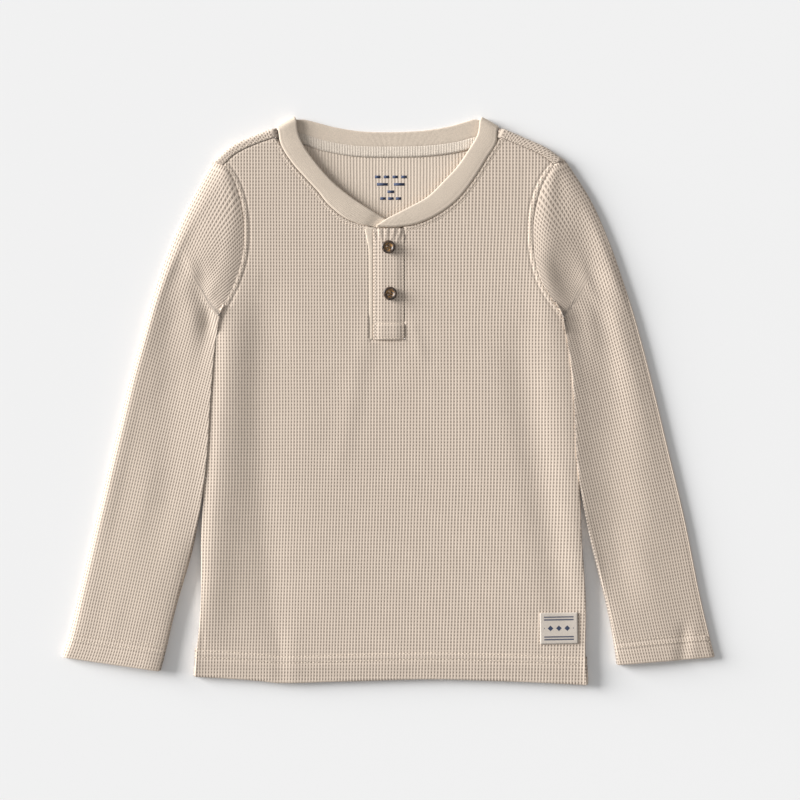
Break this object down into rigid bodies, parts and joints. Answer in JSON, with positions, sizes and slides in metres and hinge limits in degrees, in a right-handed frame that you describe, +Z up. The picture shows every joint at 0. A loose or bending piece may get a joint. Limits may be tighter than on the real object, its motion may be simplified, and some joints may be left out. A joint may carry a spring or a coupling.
{
  "type": "henley shirt",
  "caption": "Toddler's long-sleeved henley shirt in oat waffle knit, laid flat, with a plain neckband and a buttoned placket.",
  "frame": {"origin": "on the surface that the shirt lies on, under the middle of its bounding box", "axes": "+X towards the wearer's left sleeve, +Y from the hem to the neck, +Z up off the surface, out of the shirt's front"},
  "size_m": [0.4826, 0.4196, 0.0093],
  "materials": {
    "waffle_knit": "cotton waffle knit, matt",
    "rib_jersey": "smooth fine knit, matt",
    "twill_tape": "woven cotton tape, matt",
    "label_weave": "woven damask label, soft sheen",
    "horn_button": "mottled brown, polished"
  },
  "bodies": {
    "root": {"back_panel": "waffle_knit", "front_panel": "waffle_knit", "sleeve_right": "waffle_knit", "sleeve_left": "waffle_knit", "placket_under": "waffle_knit", "placket_top": "waffle_knit", "neckband": "rib_jersey", "neck_tape": "twill_tape", "hem_label": "label_weave", "button_top": "horn_button", "button_bottom": "horn_button"}
  },
  "joints": []
}
